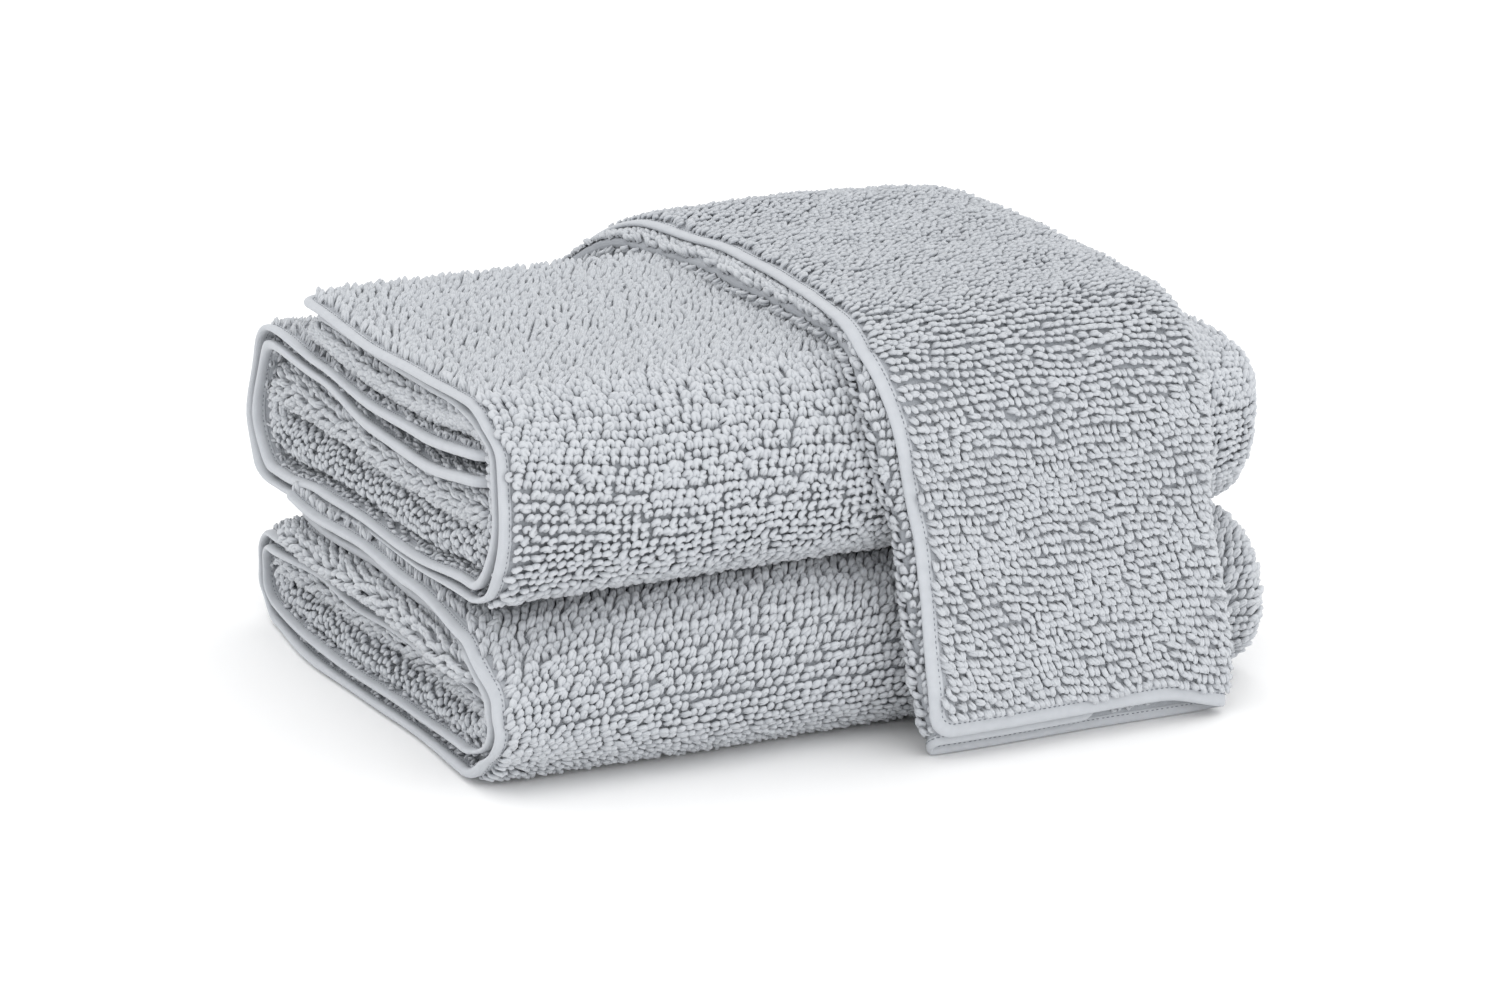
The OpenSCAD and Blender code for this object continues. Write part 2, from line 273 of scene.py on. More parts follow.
        # The right end closes like the end of a bolster
        dy = dy - y * 0.085 * smooth(x, BATH_HI[0] - 40 * MM, BATH_HI[0] + 4 * MM) * self.top
        if self.top:
            lower = 1 - smooth(z, 15 * MM, 50 * MM)
            dy = dy + (2 + 9 * lower) * MM * left * smooth(y, 95 * MM, 150 * MM)
            dx = 0.8 * MM * edge * waves(y, z * 3, self.seed + 1, 0.10)
            below_flap = 1 - smooth(z, 50 * MM, 62 * MM)
            dx = dx - 2.5 * MM * left * smooth(y, -50 * MM, 100 * MM) * below_flap
        else:
            dy = dy - 6 * MM * left * smooth(y, 95 * MM, 150 * MM)
            bulge = np.exp(-(((y - 55 * MM) / (70 * MM)) ** 2))
            dx = -(3.5 + 6 * bulge) * MM * np.exp(-np.maximum(x - BATH_LEFT, 0) / (90 * MM))
            dx = dx + 0.8 * MM * edge * waves(y, z * 3, self.seed + 1, 0.10)
            # The flap's folded edge has slipped out past its bound edges
            slip = smooth(v, self.v_marks[1], self.v_marks[2])
            slip = slip * (1 - smooth(v, self.v_marks[4], self.v_marks[5]))
            dx = dx - 7 * MM * slip * smooth(u, self.marks[2] + 70 * MM, self.marks[3])
            # The middle third has drawn in under it
            dx = dx + 8 * MM * edge * (1 - smooth(u, self.marks[0] - 60 * MM, self.marks[0]))
        # The flap's end lies further back than its width alone would put it
        dy = dy + (7 if self.top else 14) * MM * smooth(u, self.marks[3] + 20 * MM, self.marks[4])
        # The inner bound edge of the flap lies further in than the outer one
        inner_end = smooth(v, self.v_marks[5], self.v_marks[5] + 100 * MM)
        dx = dx + 7 * MM * edge * inner_end * smooth(u, self.marks[3] - 20 * MM, self.marks[3] + 40 * MM)
        dy = dy - 20 * MM * left * (1 - smooth(u, 0, 80 * MM))
        return np.stack([x + dx, y + dy, new_z + self.base_z], -1)


class GuestDrape(Fold):
    def __init__(self, seed):
        self.seed = seed
        self.turn_y = GUEST_BACK - GUEST_BACK_R
        self.drop_z = GUEST_TOP - GUEST_FRONT_R
        self.rear_z = GUEST_TOP - GUEST_BACK_R
        front = self.drop_z - GUEST_FRONT_Z
        turn = PI / 2 * (GUEST_FRONT_R - GUEST_PACK / 2)
        over = self.turn_y - FRONT_Y
        back_turn = PI / 2 * (GUEST_BACK_R - GUEST_PACK / 2)
        rear = GUEST_FLAT[0] - front - turn - over - back_turn
        self.marks = np.cumsum([front, turn, over, back_turn, rear])
        self.width = self.marks[-1]
        self.length = GUEST_FLAT[1]
        upper = GUEST_TURN_X - GUEST_UPPER_X
        lower = GUEST_TURN_X - GUEST_RIDGE_X
        self.v_marks = np.cumsum([upper, PI * GUEST_PITCH, lower, PI * GUEST_PITCH / 2])
        self.inner_x = GUEST_RIDGE_X + self.length - self.v_marks[-1]

    def section(self, v):
        m = self.v_marks
        big, small = GUEST_PITCH, GUEST_PITCH / 2
        mid = [GUEST_PLY / 2 + k * GUEST_PITCH for k in range(3)]
        a1 = np.clip((v - m[0]) / (m[1] - m[0]), 0, 1) * PI
        a2 = np.clip((v - m[2]) / (m[3] - m[2]), 0, 1) * PI
        where = [v < m[0], v < m[1], v < m[2], v < m[3]]
        one, zero = np.ones_like(v), np.zeros_like(v)
        x = np.select(
            where,
            [
                GUEST_UPPER_X + v,
                GUEST_TURN_X + big * np.sin(a1),
                GUEST_TURN_X - (v - m[1]),
                GUEST_RIDGE_X - small * np.sin(a2),
            ],
            GUEST_RIDGE_X + (v - m[3]),
        )
        t = np.select(
            where,
            [mid[0] * one, mid[1] - big * np.cos(a1), mid[2] * one, mid[1] + small + small * np.cos(a2)],
            mid[1] * one,
        )
        nx = np.select(where, [zero, np.sin(a1), zero, -np.sin(a2)], zero)
        nt = np.select(where, [-one, -np.cos(a1), one, np.cos(a2)], -one)
        way = np.where(v < self.length / 2, one, -one)
        return x, t, nx, nt, way

    def shape(self, u, x, t, v):
        m = self.marks
        # Past the inner layer's end the upper layer comes down on the lower one
        hollow = smooth(x, self.inner_x - 15 * MM, self.inner_x + 30 * MM)
        t = t + 1.5 * MM * hollow * np.clip(1 - t / (GUEST_PACK - GUEST_PLY / 2), 0, 1)
        over = np.maximum(u - m[4], 0)
        under = np.maximum(-u, 0)
        uc = np.clip(u, 0, m[4])
        a1 = np.clip((uc - m[0]) / (m[1] - m[0]), 0, 1) * PI / 2
        a2 = np.clip((uc - m[2]) / (m[3] - m[2]), 0, 1) * PI / 2
        where = [uc < m[0], uc < m[1], uc < m[2], uc < m[3]]
        y = np.select(
            where,
            [
                GUEST_FRONT + t,
                FRONT_Y - (GUEST_FRONT_R - t) * np.cos(a1),
                FRONT_Y + (uc - m[1]),
                self.turn_y + (GUEST_BACK_R - t) * np.sin(a2),
            ],
            GUEST_BACK - t,
        )
        z = np.select(
            where,
            [
                GUEST_FRONT_Z + uc - under,
                self.drop_z + (GUEST_FRONT_R - t) * np.sin(a1),
                GUEST_TOP - t,
                self.rear_z + (GUEST_BACK_R - t) * np.cos(a2),
            ],
            self.rear_z - (uc - m[3]) - over,
        )
        return self.warp(uc, x, y, z, v)

    # How the drape's left and right sides stray from straight along its length, how much less
    # its lower layer sticks out, and how much its left part sinks, in mm
    ALONG = [0, 30, 60, 90, 120, 150, 170, 198, 238, 293, 330, 353, 380, 400, 430, 460, 500, 600]
    ALONG = np.array(ALONG) * MM
    LEFT = np.array([-1, -1, 0, -1, -7, -12, -15, -13, -5, 0, 2, 3, 1, -3, -10, -20, -26, -26]) * MM
    RIGHT = np.array([-4, -3, -4, -8, -9, -8, -7, -3, 2, 7, 9, 10, 9, 8, 6, 4, 2, 0]) * MM
    LESS = np.array([12, 7, 5, 5, 2, 3, 8, 9, 5, 0, 0, 0, 0, 0, 0, 0, 0, 0]) * MM
    SINK = np.array([0, 0, 0, 0, 0, 0, 0, 0, 0, 1, 2, 3, 4, 4, 2, 0, 0, 0]) * MM

    def warp(self, u, x, y, z, v):
        m = self.marks
        f = np.clip((x - GUEST_UPPER_X) / (GUEST_HI[0] - GUEST_UPPER_X), -0.1, 1.1)
        left, right, less, sink = (
            np.interp(u, self.ALONG, k) for k in (self.LEFT, self.RIGHT, self.LESS, self.SINK)
        )
        upper = 1 - smooth(v, self.v_marks[0], self.v_marks[1])
        left = left + less * (1 - upper)
        hang = 1 - smooth(u, 0.5 * m[0], m[1])
        hem = 1 - smooth(u, 0, 0.9 * m[0])
        dy = -16 * MM * (1 - smooth(u, 0, 0.85 * m[0]))
        dy = dy - 1.2 * MM * waves(x, z * 1.5, self.seed, 0.10) * hang
        on_top = smooth(u, m[0], m[1]) * (1 - smooth(u, m[2], m[3]))
        dz = 0.8 * MM * waves(x, y, self.seed + 1, 0.10) * (1 - hang)
        dz = dz - (1 + 6 * smooth(x, 110 * MM, 170 * MM)) * MM * on_top - sink * (1 - f) ** 2
        # The upper layer ends a little higher than the lower one, less so at the right fold
        lift = 11 * MM - 8 * MM * smooth(x, 110 * MM, 150 * MM)
        inner = smooth(v, self.v_marks[2], self.v_marks[3])
        dz = dz + (lift * upper + 6 * MM * inner - 2.6 * MM) * hem
        return np.stack([x + left * (1 - f) + right * f, y + dy, z + dz], -1)


# ---- Mesh helpers ----


def mesh_object(name, points, quads, material, body):
    me = bpy.data.meshes.new(name)
    points = np.array(points, float)
    points[:, 2] = np.maximum(points[:, 2], 0.2 * MM)  # pressed flat where it lies
    me.vertices.add(len(points))
    me.vertices.foreach_set("co", np.ascontiguousarray(points, np.float32).ravel())
    me.loops.add(quads.size)
    me.loops.foreach_set("vertex_index", np.ascontiguousarray(quads, np.int32).ravel())
    me.polygons.add(len(quads))
    me.polygons.foreach_set("loop_start", np.arange(0, quads.size, 4, dtype=np.int32))
    me.polygons.foreach_set("use_smooth", np.ones(len(quads), bool))
    me.update(calc_edges=True)
    me.materials.append(material)
    ob = bpy.data.objects.new(name, me)
    bpy.context.scene.collection.objects.link(ob)
    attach(ob, body)
    return ob


def add_attribute(ob, name, kind, values):
    """A value or vector for each point, which the materials read."""
    a = ob.data.attributes.new(name, kind, "POINT")
    key = "vector" if kind == "FLOAT_VECTOR" else "value"
    a.data.foreach_set(key, np.ascontiguousarray(values, np.float32).ravel())


def grid_quads(rows, cols, start=0, flip=False, wrap=False):
    """Quads of a rows x cols grid of points; wrap joins the last column to the first."""
    r = np.arange(rows - 1)[:, None]
    c = np.arange(cols if wrap else cols - 1)[None, :]
    nxt = (c + 1) % cols
    q = np.stack([r * cols + c, r * cols + nxt, (r + 1) * cols + nxt, (r + 1) * cols + c], -1)
    q = q.reshape(-1, 4) + start
    return q[:, ::-1] if flip else q


def ground_cloth(name, fold, body, nu, nv):
    """The woven ground as a thin closed sheet in its folded shape."""
    inset, r = 1.2 * MM, CORNER_R - 1.2 * MM
    w, l = fold.width - 2 * inset, fold.length - 2 * inset
    u, v = np.meshgrid(np.linspace(0, w, nu), np.linspace(0, l, nv), indexing="ij")
    # Squares at the corners are drawn in to quarter discs
    du = np.clip(1 - np.minimum(u, w - u) / r, 0, 1)
    dv = np.clip(1 - np.minimum(v, l - v) / r, 0, 1)
    draw = 1 - np.maximum(du, dv) / np.maximum(np.hypot(du, dv), 1e-6)
    draw = np.where(np.minimum(du, dv) > 0, draw, 0)
    u = u + inset + np.where(u < w / 2, 1, -1) * draw * du * r
    v = v + inset + np.where(v < l / 2, 1, -1) * draw * dv * r
    upper = fold.place(u, v, GROUND_T).reshape(-1, 3)
    lower = fold.place(u, v, -GROUND_T).reshape(-1, 3)
    n = nu * nv
    rim = np.concatenate(
        [
            np.arange(nv - 1),
            nv - 1 + nv * np.arange(nu - 1),
            n - 1 - np.arange(nv - 1),
            nv * np.arange(nu - 1, 0, -1),
        ]
    )
    nxt = np.roll(rim, -1)
    sides = np.stack([rim, rim + n, nxt + n, nxt], -1)
    quads = np.concatenate([grid_quads(nu, nv), grid_quads(nu, nv, n, flip=True), sides])
    ob = mesh_object(name, np.concatenate([upper, lower]), quads, GROUND, body)
    flat = np.stack([u, v, 0 * u], -1).reshape(-1, 3)
    add_attribute(ob, "weave", "FLOAT_VECTOR", np.concatenate([flat, flat]))
    return ob


def perimeter(fold, step):
    """Points round the sheet's edge with rounded corners: u, v and the inward direction."""
    w, l, r = fold.width, fold.length, CORNER_R
    parts = []

    def line(u0, v0, u1, v1, du, dv):
        k = max(2, int(math.hypot(u1 - u0, v1 - v0) / step))
        s = np.arange(k) / k
        one = np.ones(k)
        parts.append(np.stack([u0 + (u1 - u0) * s, v0 + (v1 - v0) * s, du * one, dv * one]))

    def arc(cu, cv, start):
        k = max(6, int(PI / 2 * r / step))
        a = start + np.arange(k) / k * PI / 2
        parts.append(
            np.stack([cu + r * np.cos(a), cv + r * np.sin(a), -np.cos(a), -np.sin(a)])
        )

    line(w, r, w, l - r, -1, 0)
    arc(w - r, l - r, 0)
    line(w - r, l, r, l, 0, -1)
    arc(r, l - r, PI / 2)
    line(0, l - r, 0, r, 1, 0)
    arc(r, r, PI)
    line(r, 0, w - r, 0, 0, 1)
    arc(w - r, r, 1.5 * PI)
    return np.concatenate(parts, 1)


def tape_width(fold, v, iu, widths):
    """The tape's width on the sides, and at the ends before and after the first fold."""
    side_w, end_w, far_w = widths
    end_w = end_w + (far_w - end_w) * smooth(v, fold.v_marks[0], fold.v_marks[1])
    return side_w + (end_w - side_w) * np.clip(np.abs(iu) * 1.3 - 0.15, 0, 1)


# The tape's section: distance in from the edge as a share of its width, and half thickness
# as a share of TAPE_T / 2, with a dip where the stitches pull it in
TAPE_SECTION = [
    (1.02, 0.62),
    (0.99, 0.80),
    (0.92, 0.86),
    (0.80, 0.76),
    (0.70, 0.92),
    (0.50, 1.04),
    (0.30, 1.02),
    (0.13, 0.86),
    (0.03, 0.52),
    (-0.01, 0.18),
]


def binding(name, fold, body, widths):
    """The binding tape, folded over the edge all round."""
    step = 2 * MM
    u, v, iu, iv = perimeter(fold, step)
    wide = tape_width(fold, v, iu, widths)
    profile = TAPE_SECTION + [(a, -b) for a, b in reversed(TAPE_SECTION)]
    s = np.arange(len(u)) * step
    seed = fold.seed + 20
    pucker = 0.05 * np.sin(2 * PI * s / (6.1 * MM)) + 0.07 * waves(s, s * 0, seed, 0.017)
    cols, weave = [], []
    for a, b in profile:
        d = wide * a * (1 + 0.035 * waves(s, s * 0, seed + 1, 0.04))
        off = TAPE_T / 2 * b * (1 + pucker * (0.3 + 0.7 * a))
        cols.append(fold.place(u + iu * d, v + iv * d, off))
        weave.append(np.stack([s, wide * a * np.sign(b), 0 * s], -1))
    pts, weave = np.stack(cols, 1), np.stack(weave, 1)
    n, k = pts.shape[:2]
    quads = grid_quads(n + 1, k) % (n * k)
    # The open side of the section is closed where the cloth goes in
    i = np.arange(n)
    seam = np.stack([i * k + k - 1, (i + 1) % n * k + k - 1, (i + 1) % n * k, i * k], -1)
    quads = np.concatenate([quads, seam[:, ::-1]])
    ob = mesh_object(name, pts.reshape(-1, 3), quads, TAPE, body)
    add_attribute(ob, "weave", "FLOAT_VECTOR", weave)
    return ob


def stitches(name, fold, body, widths, side):
    """A row of lockstitches on one face of the tape, each a short bead sunk at its ends."""
    u, v, iu, iv = perimeter(fold, 0.5 * MM)
    d = tape_width(fold, v, iu, widths) * 0.80
    centre = fold.place(u + iu * d, v + iv * d, side * TAPE_T / 2 * 0.78)
    raised = fold.place(u + iu * d, v + iv * d, side * (TAPE_T / 2 + 0.5 * MM))
    s = np.concatenate([[0], np.cumsum(np.linalg.norm(np.diff(centre, axis=0), axis=1))])
    pitch = 2.4 * MM
    count = int(s[-1] / pitch)
    local = np.linspace(0, 1, 5)
    at = (np.arange(count)[:, None] + 0.12 + 0.76 * local[None, :]) * pitch
    pick = np.searchsorted(s, at.ravel()).clip(0, len(s) - 1).reshape(at.shape)
    c = centre[pick]
    up = unit(raised[pick] - c)
    across = np.cross(up, unit(c[:, -1:] - c[:, :1]))
    rise = np.array([-0.35, 0.02, 0.10, 0.02, -0.35]) * MM
    radius = np.array([0.12, 0.22, 0.25, 0.22, 0.12]) * MM
    c = c + up * rise[None, :, None]
    ring = np.arange(5) / 5 * 2 * PI
    pts = (
        c[:, :, None]
        + up[:, :, None] * (radius[None, :, None] * np.cos(ring))[..., None]
        + across[:, :, None] * (radius[None, :, None] * np.sin(ring))[..., None]
    )
    one = grid_quads(5, 5, wrap=True)
    quads = (one[None] + (np.arange(count) * 25)[:, None, None]).reshape(-1, 4)
    return mesh_object(name, pts.reshape(-1, 3), quads, THREAD, body)


# ---- Terry loops ----

FINE_LOOPS, COARSE_LOOPS = 1500, 4500  # the most loops in one piece


def even(fold, side, u0, u1, v0, v1, along_u):
    """Points across a patch and their true distances, so that its loops stand evenly."""
    n = 240
    us = np.linspace(u0, u1, n) if along_u else np.full(n, (u0 + u1) / 2)
    vs = np.full(n, (v0 + v1) / 2) if along_u else np.linspace(v0, v1, n)
    p = fold.place(us, vs, side * (GROUND_T + PILE_BASE))
    s = np.concatenate([[0], np.cumsum(np.linalg.norm(np.diff(p, axis=0), axis=1))])
    return (us if along_u else vs), s


def rows(fold, side, u0, u1, v0, v1, row, pitch, threes, wave, rough):
    """Loops in rows that run along v. Where threes(u) is 1 the rows stand in threes, the
    uppermost fullest. Returns u, v and each loop's size."""
    us, su = even(fold, side, u0, u1, v0, v1, True)
    vs, sv = even(fold, side, u0, u1, v0, v1, False)
    nr, nc = max(1, round(su[-1] / row)), max(1, round(sv[-1] / pitch))
    i, j = np.arange(nr)[:, None], np.arange(nc)[None, :]
    kind = i % 3
    grouped = threes(np.interp((i + 0.5) * su[-1] / nr, su, us))
    pull = 0.08 * (2 - kind) * grouped
    a = (i + 0.5 + pull) * su[-1] / nr + wave * waves(j * pitch, i * row, fold.seed, 0.045)
    b = (j + 0.5 + RNG.uniform(-0.5, 0.5, (nr, 1))) * sv[-1] / nc + 0 * i
    a = a + RNG.normal(0, rough * row, a.shape)
    b = b + RNG.normal(0, rough * pitch, b.shape)
    size = 1 + 0.07 * (kind - 1) * grouped + 0 * b
    keep = (a > 0) & (a < su[-1]) & (b > 0) & (b < sv[-1])
    return np.interp(a[keep], su, us), np.interp(b[keep], sv, vs), size[keep]


def mix(form_a, form_b, w):
    """Form values that pass from one form to another, one for each loop."""
    return {k: (form_a[k] * (1 - w) + form_b[k] * w)[:, None] for k in form_a}


def loop_piece(name, fold, body, u, v, size, side, form, fine):
    """Curled yarn loops. Seen from above, each is an arc of an ellipse whose head points at
    form's angle, counted from v towards u, and both its legs go down into the ground."""
    n = len(u)
    base = side * GROUND_T
    step = 1.0 * MM
    p = fold.place(u, v, base)
    up = unit(fold.place(u, v, base + side * step) - p)
    du = fold.place(u + step, v, base) - fold.place(u - step, v, base)
    dv = fold.place(u, v + step, base) - fold.place(u, v - step, base)
    row = unit(dv - up * np.sum(dv * up, 1, keepdims=True))
    across = np.cross(up, row) * np.sign(np.sum(np.cross(dv, du) * up, 1, keepdims=True))
    rings, sides = (9, 6) if fine else (5, 4)
    s = np.linspace(0, 1, rings)[None, :]

    def vary(value, spread):
        return value * (1 + RNG.normal(0, spread, (n, 1)).clip(-2 * spread, 2 * spread))

    size = size[:, None]
    head = np.radians(form["head"] + form["spread"] * RNG.normal(0, 1, (n, 1)))
    long_r, short_r = vary(form["long"], 0.10) * size, vary(form["short"], 0.12) * size
    height = vary(form["height"], 0.12) * size
    r = vary(form["radius"], 0.08) * size
    turn = (s - 0.5) * np.radians(vary(form["arc"], 0.08))
    rise = np.sin(PI * s) ** 0.42
    a = long_r * np.cos(turn) + vary(form["lean"], 0.25) * rise**2
    b = short_r * np.sin(turn) * RNG.choice([-1.0, 1.0], (n, 1))
    c = (height + 0.5 * MM) * rise - 0.5 * MM
    c = c + form["tilt"] * height * (np.cos(turn) - 0.4) * rise**2
    cos_h, sin_h = np.cos(head), np.sin(head)
    pa, pb = a * cos_h - b * sin_h, a * sin_h + b * cos_h
    centre = (
        p[:, None]
        + row[:, None] * pa[..., None]
        + across[:, None] * pb[..., None]
        + up[:, None] * c[..., None]
    )
    tangent = unit(np.gradient(centre, axis=1))
    mid = centre[:, :1] * 0.5 + centre[:, -1:] * 0.5
    outward = centre - mid - (a * 0.3)[..., None] * (row * cos_h + across * sin_h)[:, None]
    s1 = unit(outward - tangent * np.sum(outward * tangent, 2, keepdims=True))
    s2 = np.cross(tangent, s1)
    ring = np.arange(sides) / sides * 2 * PI
    rad = (r * (0.80 + 0.24 * rise))[..., None]
    if fine:
        # Two plies twisted together
        rad = rad * (1 + 0.10 * np.cos(2 * ring - (s * 9)[..., None]))
    pts = (
        centre[:, :, None]
        + s1[:, :, None] * (rad * np.cos(ring))[..., None]
        + s2[:, :, None] * (rad * np.sin(ring))[..., None]
    )
    one = grid_quads(rings, sides, wrap=True)
    quads = (one[None] + (np.arange(n) * rings * sides)[:, None, None]).reshape(-1, 4)
    ob = mesh_object(name, pts.reshape(-1, 3), quads, PILE, body)
    # Half a random tone for each loop, half painted shade: darker towards the loop's roots, lighter at its
    # tip
    tone_and_root_shade = 0.5 * RNG.random((n, 1, 1)) + 0.5 * rise[..., None] + np.zeros(sides)
    add_attribute(ob, "yarn", "FLOAT", tone_and_root_shade)
    return ob


def patch(
    parts, name, fold, body, area, side, forms, fine, row, pitch, wave=0.5 * MM, rough=0.07
):
    """Loops over an area. Of two forms the second takes over about the u given with them."""
    form_a, form_b, at = forms if isinstance(forms, tuple) else (forms, forms, 0)

    def other(u):
        return smooth(u, at - 12 * MM, at + 12 * MM) if at else 0 * u

    def threes(u):
        if form_a not in (CURL, SLANT):
            return 0 * u
        low = fold.marks[2] + 0.33 * fold.front
        return (1 - other(u)) * smooth(u, low, low + 25 * MM)

    u, v, size = rows(fold, side, *area, row, pitch, threes, wave, rough)
    most = FINE_LOOPS if fine else COARSE_LOOPS
    pieces = max(1, math.ceil(len(u) / most))
    for k, pick in enumerate(np.array_split(np.arange(len(u)), pieces)):
        tag = name if pieces == 1 else f"{name}_{k + 1}"
        form = mix(form_a, form_b, other(u[pick]))
        parts.append(loop_piece(tag, fold, body, u[pick], v[pick], size[pick], side, form, fine))


def loop_form(height, head, spread, long, short, radius, lean, tilt, arc=265.0):
    lengths = {"height": height, "long": long, "short": short, "radius": radius, "lean": lean}
    angles = {"head": head, "spread": spread, "tilt": tilt, "arc": arc}
    form = {k: np.float64(x * MM) for k, x in lengths.items()}
    form.update({k: np.float64(x) for k, x in angles.items()})
    return form


CURL = loop_form(2.5, 125, 34, 1.65, 1.10, 1.18, 0.4, 0.12, 270.0)
SLANT = loop_form(2.7, 58, 18, 2.10, 0.65, 1.04, 0.5, 0.12)
SPIKE = loop_form(2.8, 50, 18, 1.50, 0.50, 0.82, 1.5, 0.30)
BEAN = loop_form(2.7, -54, 22, 1.75, 0.55, 0.90, 0.3, 0.05)
RIDGE = loop_form(2.2, 90, 25, 1.50, 0.65, 1.00, 0.4, 0.05)
PRESSED = loop_form(1.35, 45, 60, 1.4, 1.0, 0.85, 0.2, 0.0)
COVERED = loop_form(1.9, 58, 24, 2.0, 0.8, 1.2, 0.4, 0.05)

# ---- Materials ----


def new_material(name, roughness, sheen):
    m = bpy.data.materials.new(name)
    m.use_nodes = True
    p = m.node_tree.nodes["Principled BSDF"]
    p.inputs["Roughness"].default_value = roughness
    p.inputs["Specular IOR Level"].default_value = 0.15
    p.inputs["Sheen Weight"].default_value = sheen
    p.inputs["Sheen Roughness"].default_value = 0.5
    return m, m.node_tree, p


def node(nt, kind, **values):
    n = nt.nodes.new(kind)
    for key, value in values.items():
        if key in n.inputs.keys():
            n.inputs[key].default_value = value
        else:
            setattr(n, key, value)
    return n


def ramp(nt, factor, low, high):
    r = nt.nodes.new("ShaderNodeValToRGB")
    r.color_ramp.elements[0].color = (*low, 1)
    r.color_ramp.elements[1].color = (*high, 1)
    nt.links.new(factor, r.inputs["Fac"])
    return r.outputs["Color"]


def bump(nt, p, height, strength, distance):
    b = node(nt, "ShaderNodeBump", Strength=strength, Distance=distance)
    nt.links.new(height, b.inputs["Height"])
    nt.links.new(b.outputs["Normal"], p.inputs["Normal"])


def add(nt, a, b, weight):
    m = node(nt, "ShaderNodeMath", operation="MULTIPLY_ADD")
    m.inputs[1].default_value = weight
    nt.links.new(a, m.inputs[0])
    nt.links.new(b, m.inputs[2])
    return m.outputs[0]


def pile_material():
    """Cotton yarn: each loop its own random tone, with painted shade that darkens it towards its root, and
    a fine fuzz.
    """
    m, nt, p = new_material("terry_yarn", 0.92, 0.25)
    yarn = node(nt, "ShaderNodeAttribute", attribute_name="yarn")
    coord = nt.nodes.new("ShaderNodeTexCoord")
    fuzz = node(nt, "ShaderNodeTexNoise", Scale=1300.0, Detail=2.0)
    nt.links.new(coord.outputs["Object"], fuzz.inputs["Vector"])
    shade = add(nt, fuzz.outputs["Fac"], yarn.outputs["Fac"], 0.5)
    colour = ramp(nt, shade, PILE_DARK, PILE_LIGHT)
    nt.links.new(colour, p.inputs["Base Color"])
    bump(nt, p, fuzz.outputs["Fac"], 0.45, 0.25 * MM)
    return m


def woven_material(name, low, high, period, strength, roughness, sheen):
    """Plain weave from the cloth's own flat coordinates."""
    m, nt, p = new_material(name, roughness, sheen)
    flat = node(nt, "ShaderNodeAttribute", attribute_name="weave")
    # A wave texture's period is 0.314 / scale
    warp = node(nt, "ShaderNodeTexWave", Scale=0.314 / period, bands_direction="X")
    weft = node(nt, "ShaderNodeTexWave", Scale=0.314 / period, bands_direction="Y")
    noise = node(nt, "ShaderNodeTexNoise", Scale=260.0, Detail=3.0)
    for tex in (warp, weft, noise):
        nt.links.new(flat.outputs["Vector"], tex.inputs["Vector"])
    threads = add(nt, warp.outputs["Fac"], weft.outputs["Fac"], 0.8)
    shade = add(nt, threads, noise.outputs["Fac"], 0.18)
    colour = ramp(nt, shade, low, high)
    nt.links.new(colour, p.inputs["Base Color"])
    bump(nt, p, threads, strength, 0.12 * MM)
    return m


def thread_material():
    m, nt, p = new_material("sewing_yarn_shaded", 0.6, 0.1)
    coord = nt.nodes.new("ShaderNodeTexCoord")
    noise = node(nt, "ShaderNodeTexNoise", Scale=3000.0, Detail=2.0)
    nt.links.new(coord.outputs["Object"], noise.inputs["Vector"])
    colour = ramp(nt, noise.outputs["Fac"], THREAD_SHADE_DARK, THREAD_SHADE_LIGHT)
    nt.links.new(colour, p.inputs["Base Color"])
    bump(nt, p, noise.outputs["Fac"], 0.4, 0.1 * MM)
    return m


# The thread is far darker than the tape: painted shade for the sunk stitches and their needle holes
THREAD_SHADE_DARK = (0.17, 0.185, 0.21)
THREAD_SHADE_LIGHT = (0.26, 0.28, 0.305)
# The ground cloth is darker than the loops' yarn: painted shade for the gaps between the loops
GROUND_SHADE_DARK, GROUND_SHADE_LIGHT = (0.31, 0.325, 0.35), (0.41, 0.43, 0.46)
TAPE_DARK, TAPE_LIGHT = (0.44, 0.46, 0.49), (0.52, 0.54, 0.57)
# The dark end also gives the painted shade at the loops' roots
PILE_DARK = (0.395, 0.413, 0.442)
PILE_LIGHT = (0.54, 0.56, 0.589)
PILE = pile_material()
GROUND = woven_material("ground_weave_shaded", GROUND_SHADE_DARK, GROUND_SHADE_LIGHT, 1.1 * MM, 0.5, 0.9, 0.1)
TAPE = woven_material("binding_weave", TAPE_DARK, TAPE_LIGHT, 0.42 * MM, 0.25, 0.7, 0.15)
THREAD = thread_material()

# ---- Build the towels ----


def dress(tag, fold, body, widths, nu, nv):
    """The ground cloth, tape and stitches of one towel, each in place of its CAD node."""
    cloth = ground_cloth(f"{tag}_cloth", fold, body, nu, nv)
    tape = binding(f"{tag}_tape", fold, body, widths)
    needle = stitches(f"{tag}_needle_stitches", fold, body, widths, 1)
    bobbin = stitches(f"{tag}_bobbin_stitches", fold, body, widths, -1)
    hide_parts(f"{tag}_terry")
    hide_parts(f"{tag}_binding")
    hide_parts(f"{tag}_needle_thread")
    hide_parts(f"{tag}_bobbin_thread")
    return cloth, [tape, needle, bobbin]


